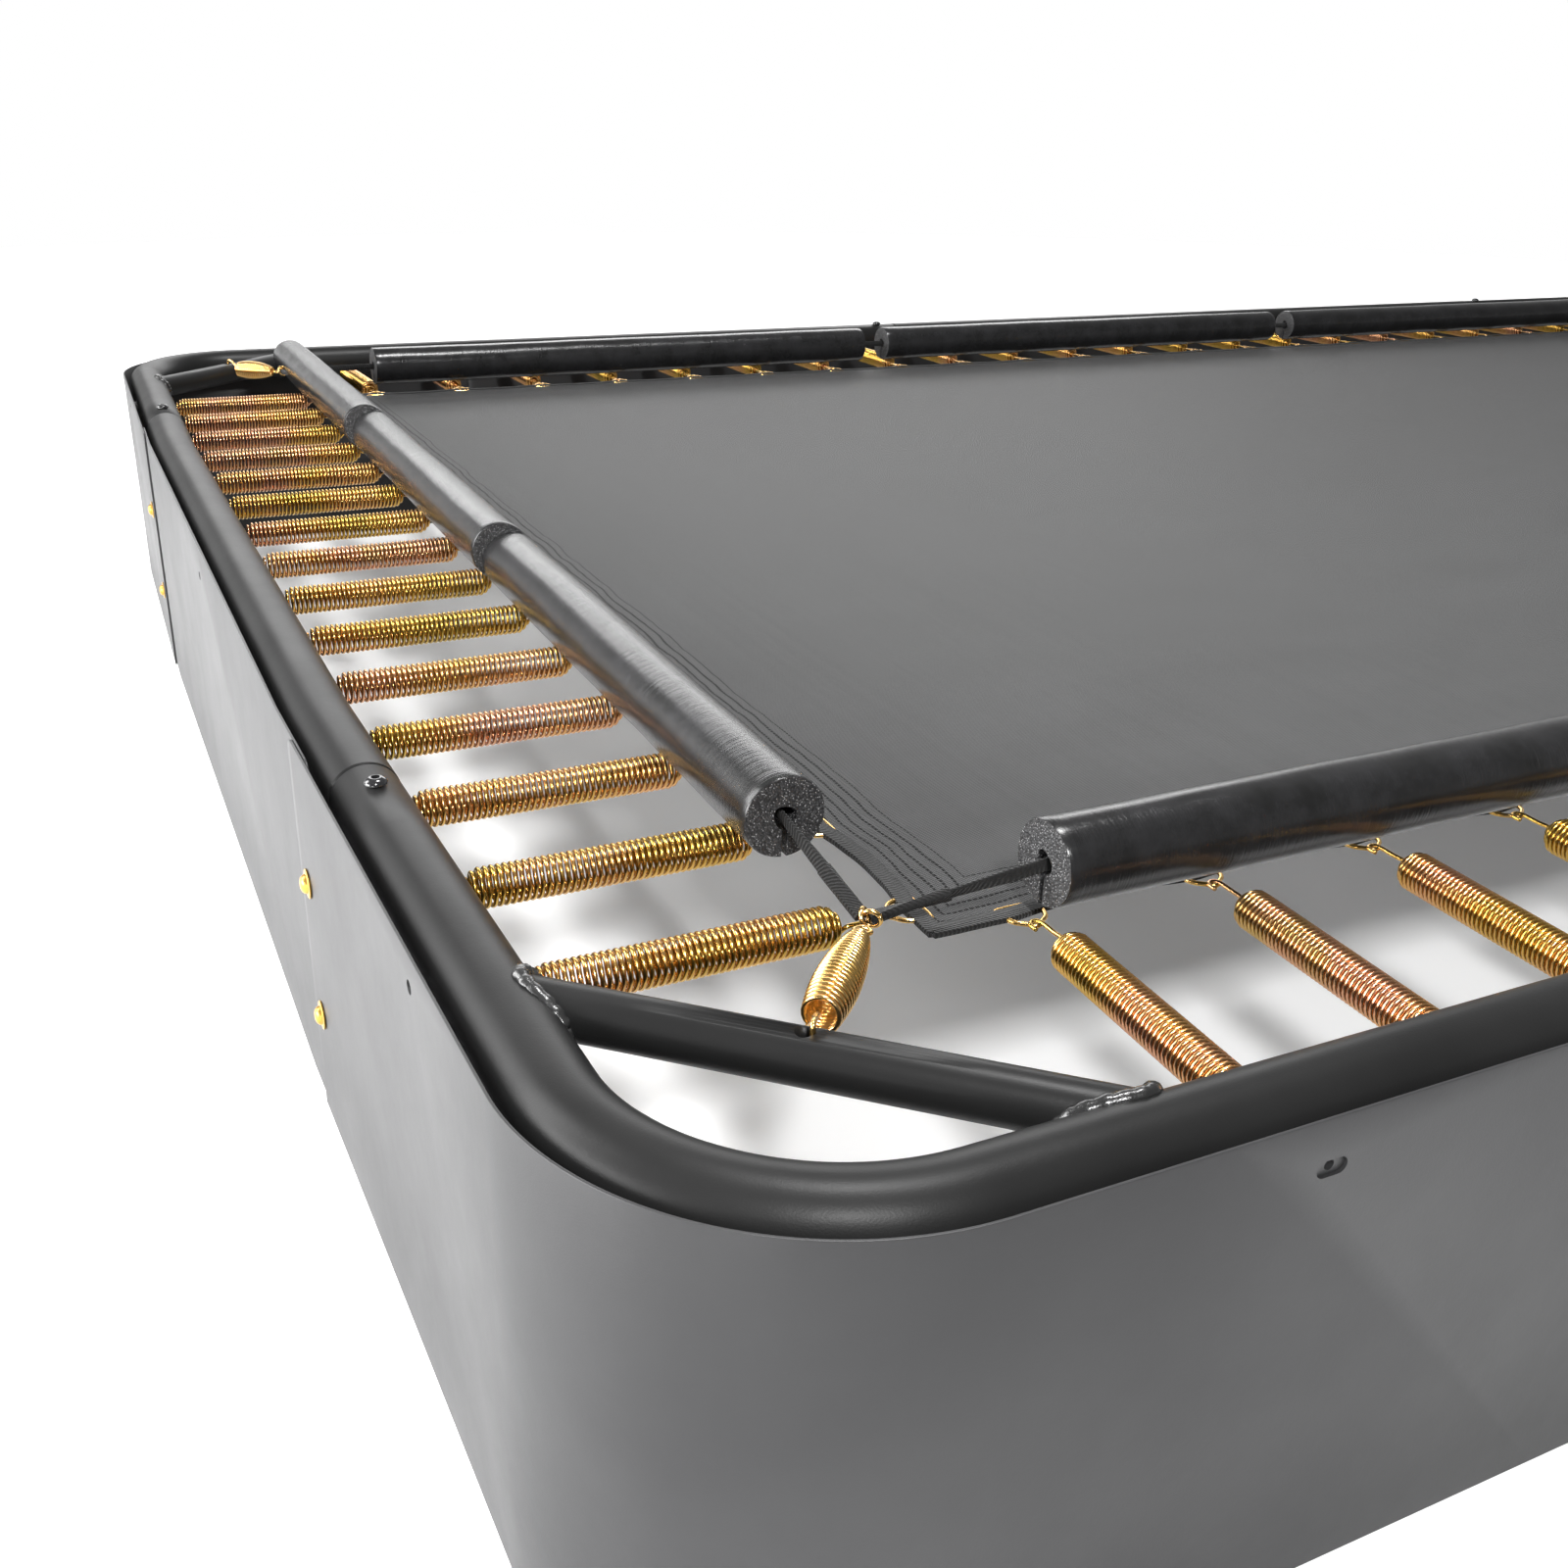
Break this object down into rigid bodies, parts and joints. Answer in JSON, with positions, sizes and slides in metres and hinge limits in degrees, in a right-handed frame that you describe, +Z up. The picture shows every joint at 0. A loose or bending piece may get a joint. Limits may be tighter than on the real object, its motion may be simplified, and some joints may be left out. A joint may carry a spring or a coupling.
{
  "type": "backyard trampoline",
  "caption": "Rectangular ground-level trampoline: sheet-steel skirt, tubular rail ring, coil springs and padded tubes around a woven jumping bed.",
  "frame": {"origin": "centre of the footprint, on the ground", "axes": "+X along the long side, +Y along the short side towards the rear, +Z up"},
  "size_m": [4.493, 2.4356, 0.354],
  "materials": {
    "rail_coat": "satin black powder coat",
    "skirt_coat": "satin black powder coat",
    "black_bolt": "blackened steel",
    "yellow_zinc": "yellow zinc plated, bright",
    "bed_cloth": "woven polypropylene, fine diagonal weave",
    "foam_skin": "charcoal foam under a glossy film",
    "webbing": "woven polyester webbing"
  },
  "bodies": {
    "frame": {"corner_tube_front_left": "rail_coat", "corner_tube_front_right": "rail_coat", "corner_tube_rear_right": "rail_coat", "corner_tube_rear_left": "rail_coat", "short_rail_left": "rail_coat", "short_rail_right": "rail_coat", "long_rail_front": "rail_coat", "long_rail_rear": "rail_coat", "corner_brace_front_left": "rail_coat", "corner_brace_front_right": "rail_coat", "corner_brace_rear_right": "rail_coat", "corner_brace_rear_left": "rail_coat", "joint_bolt_short_front_left": "black_bolt", "joint_bolt_long_front_left": "black_bolt", "joint_bolt_short_front_right": "black_bolt", "joint_bolt_long_front_right": "black_bolt", "joint_bolt_short_rear_right": "black_bolt", "joint_bolt_long_rear_right": "black_bolt", "joint_bolt_short_rear_left": "black_bolt", "joint_bolt_long_rear_left": "black_bolt", "corner_panel_front_left": "skirt_coat", "corner_panel_front_right": "skirt_coat", "corner_panel_rear_right": "skirt_coat", "corner_panel_rear_left": "skirt_coat", "skirt_panel_left": "skirt_coat", "skirt_panel_right": "skirt_coat", "skirt_panel_front": "skirt_coat", "skirt_panel_rear": "skirt_coat", "corner_spring_front_left": "yellow_zinc", "corner_spring_front_right": "yellow_zinc", "corner_spring_rear_right": "yellow_zinc", "corner_spring_rear_left": "yellow_zinc", "spring_row_left": "yellow_zinc", "spring_row_right": "yellow_zinc", "spring_row_front": "yellow_zinc", "spring_row_rear": "yellow_zinc"},
    "bed": {"jumping_bed": "bed_cloth"},
    "strap_left": {"strap_left": "webbing"},
    "pads_left": {"padded_tube_left_1": "foam_skin", "padded_tube_left_2": "foam_skin", "padded_tube_left_3": "foam_skin"},
    "strap_right": {"strap_right": "webbing"},
    "pads_right": {"padded_tube_right_1": "foam_skin", "padded_tube_right_2": "foam_skin", "padded_tube_right_3": "foam_skin"},
    "strap_front": {"strap_front": "webbing"},
    "pads_front": {"padded_tube_front_1": "foam_skin", "padded_tube_front_2": "foam_skin", "padded_tube_front_3": "foam_skin", "padded_tube_front_4": "foam_skin"},
    "strap_rear": {"strap_rear": "webbing"},
    "pads_rear": {"padded_tube_rear_1": "foam_skin", "padded_tube_rear_2": "foam_skin", "padded_tube_rear_3": "foam_skin", "padded_tube_rear_4": "foam_skin"}
  },
  "joints": [
    {"name": "bed_bounce", "type": "slide", "parent": "frame", "child": "bed", "axis": [0, 0, 1], "range_m": [-0.22, 0.01], "stiffness_N_per_m": 4000, "springref_m": 0.025, "deforming": ["spring_row_left", "spring_row_right", "spring_row_front", "spring_row_rear", "corner_spring_front_left", "corner_spring_front_right", "corner_spring_rear_right", "corner_spring_rear_left"]},
    {"name": "strap_left_dip", "type": "slide", "parent": "frame", "child": "strap_left", "axis": [0, 0, 1], "range_m": [-0.023, 0.002]},
    {"name": "strap_right_dip", "type": "slide", "parent": "frame", "child": "strap_right", "axis": [0, 0, 1], "range_m": [-0.023, 0.002]},
    {"name": "strap_front_dip", "type": "slide", "parent": "frame", "child": "strap_front", "axis": [0, 0, 1], "range_m": [-0.023, 0.002]},
    {"name": "strap_rear_dip", "type": "slide", "parent": "frame", "child": "strap_rear", "axis": [0, 0, 1], "range_m": [-0.023, 0.002]},
    {"name": "pads_left_slide", "type": "slide", "parent": "strap_left", "child": "pads_left", "axis": [0, 1, 0], "range_m": [-0.07, 0]},
    {"name": "pads_right_slide", "type": "slide", "parent": "strap_right", "child": "pads_right", "axis": [0, 1, 0], "range_m": [0, 0.07]},
    {"name": "pads_front_slide", "type": "slide", "parent": "strap_front", "child": "pads_front", "axis": [1, 0, 0], "range_m": [-0.07, 0.07]},
    {"name": "pads_rear_slide", "type": "slide", "parent": "strap_rear", "child": "pads_rear", "axis": [1, 0, 0], "range_m": [-0.07, 0.07]}
  ],
  "couplings": [
    {"joint": "strap_left_dip", "follows": "bed_bounce", "ratio": 0.1},
    {"joint": "strap_right_dip", "follows": "bed_bounce", "ratio": 0.1},
    {"joint": "strap_front_dip", "follows": "bed_bounce", "ratio": 0.1},
    {"joint": "strap_rear_dip", "follows": "bed_bounce", "ratio": 0.1}
  ]
}
